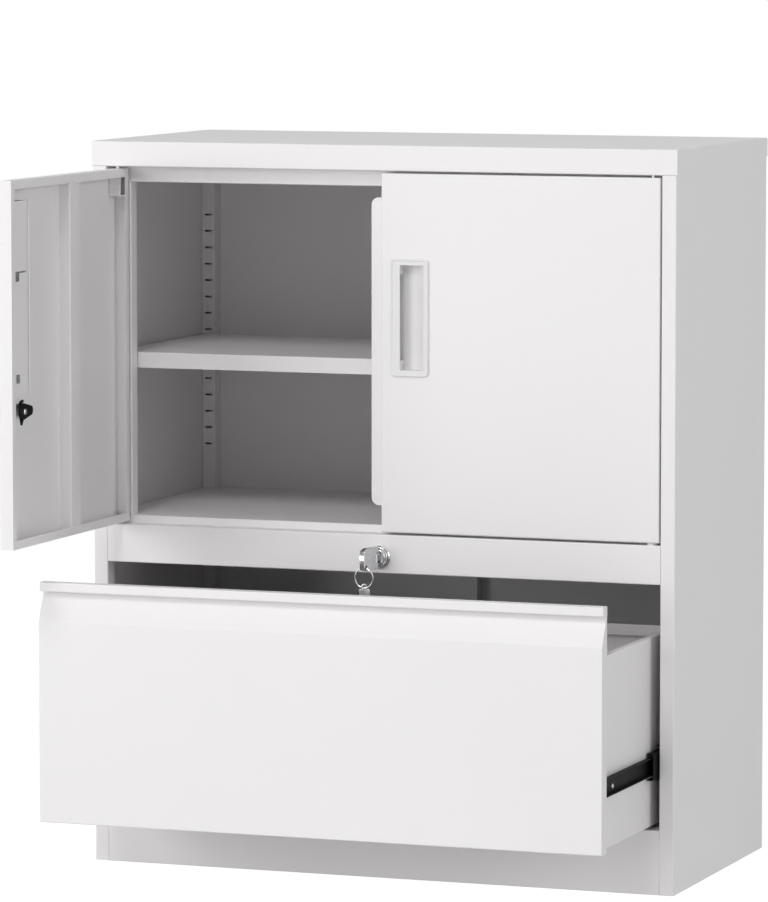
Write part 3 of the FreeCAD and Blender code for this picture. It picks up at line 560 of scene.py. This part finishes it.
# 1 for the rays that show the plain backdrop, 0 for those that light the object
def backdropRays(pen):
    seen = pen.node("LightPath", output="Is Camera Ray")
    return seen + seen.sibling("Is Glossy Ray") + seen.sibling("Is Transmission Ray")


def makeFloor():
    bm = bmesh.new()
    bmesh.ops.create_grid(bm, x_segments=2, y_segments=2, size=studio["floorSize"])
    bmesh.ops.translate(bm, verts=bm.verts, vec=(0, 0, cadLow.z))
    mesh = toMesh("studioFloor", bm)
    floor = addObject("studioFloor", mesh)
    material, pen = newTree("floorPaper")
    plain = pen.node("BsdfDiffuse", {}, {"Color": grey(studio["floorShade"])})
    shaded = pen.node("BsdfDiffuse", {}, {"Color": grey(studio["cameraShade"])})
    glow = pen.node("Emission", {}, {"Strength": studio["cameraGlow"]})
    bright = pen.node("AddShader", {}, {0: shaded, 1: glow})
    paper = pen.node("MixShader", {}, {0: backdropRays(pen), 1: plain, 2: bright})
    mesh.materials.append(closeTree(material, pen, paper))


# Soft light from all round, a little stronger from in front and below, and a plain white backdrop
def makeWorld():
    world = bpy.data.worlds.new("studioWorld")
    bpy.context.scene.world = world
    world.use_nodes = True
    world.node_tree.nodes.clear()
    pen = Wire(world.node_tree)
    ray = pen.node("TexCoord", output="Generated")
    back = pen.node("SeparateXYZ", {}, {"Vector": ray}, "Y")
    up = back.sibling("Z")
    soft = studio["ambient"] * (1 - studio["fromFront"] * back - studio["fromBelow"] * up)
    strength = soft + (1 - soft) * backdropRays(pen)
    sky = pen.node("Background", {}, {"Color": grey(1), "Strength": strength})
    pen.node("OutputWorld", {}, {"Surface": sky})


# A direction from its yaw, which is 0 towards the back and grows to the right, and its pitch
def heading(yaw, pitch):
    yaw, pitch = math.radians(yaw), math.radians(pitch)
    return Vector((math.sin(yaw) * math.cos(pitch), math.cos(yaw) * math.cos(pitch), math.sin(pitch)))


def aimAlong(item, place, ahead):
    item.location = place
    item.rotation_euler = ahead.to_track_quat("-Z", "Y").to_euler()


# where each lamp stands, seen from the middle: azimuth from the front to the right, in degrees and metres
lamps = {
    "leftLamp": {"azimuth": -36.0, "elevation": 6.0, "away": 9.0, "size": 5.0, "watts": 390.0},
    "frontLamp": {"azimuth": 0.0, "elevation": 42.0, "away": 8.0, "size": 2.2, "watts": 165.0},
    "rightLamp": {"azimuth": 78.0, "elevation": 16.0, "away": 5.0, "size": 2.0, "watts": 47.0},
}


def makeLamp(name, look):
    data = bpy.data.lights.new(name, "AREA")
    data.shape = "SQUARE"
    data.size = look["size"]
    data.energy = look["watts"]
    ahead = heading(-look["azimuth"], -look["elevation"])
    aimAlong(addObject(name, data), (cadLow + cadHigh) / 2 - ahead * look["away"], ahead)


makeFloor()
makeWorld()
for name, look in lamps.items():
    makeLamp(name, look)
print("studio ready")

# camera, fitted to the edges of the case, in metres, degrees and pixels; the sensor is in millimetres
view = {"place": (2.487, -6.901, 1.247), "yaw": -20.31, "pitch": -5.52, "focalPixels": 5576.0,
        "longSide": 902.0, "sensor": 36.0}


def makeCamera():
    data = bpy.data.cameras.new("photoCamera")
    data.sensor_width = view["sensor"]
    data.lens = view["focalPixels"] * view["sensor"] / view["longSide"]
    camera = addObject("photoCamera", data)
    aimAlong(camera, view["place"], heading(view["yaw"], view["pitch"]))
    bpy.context.scene.camera = camera


makeCamera()
bpy.context.scene.view_settings.view_transform = "Standard"
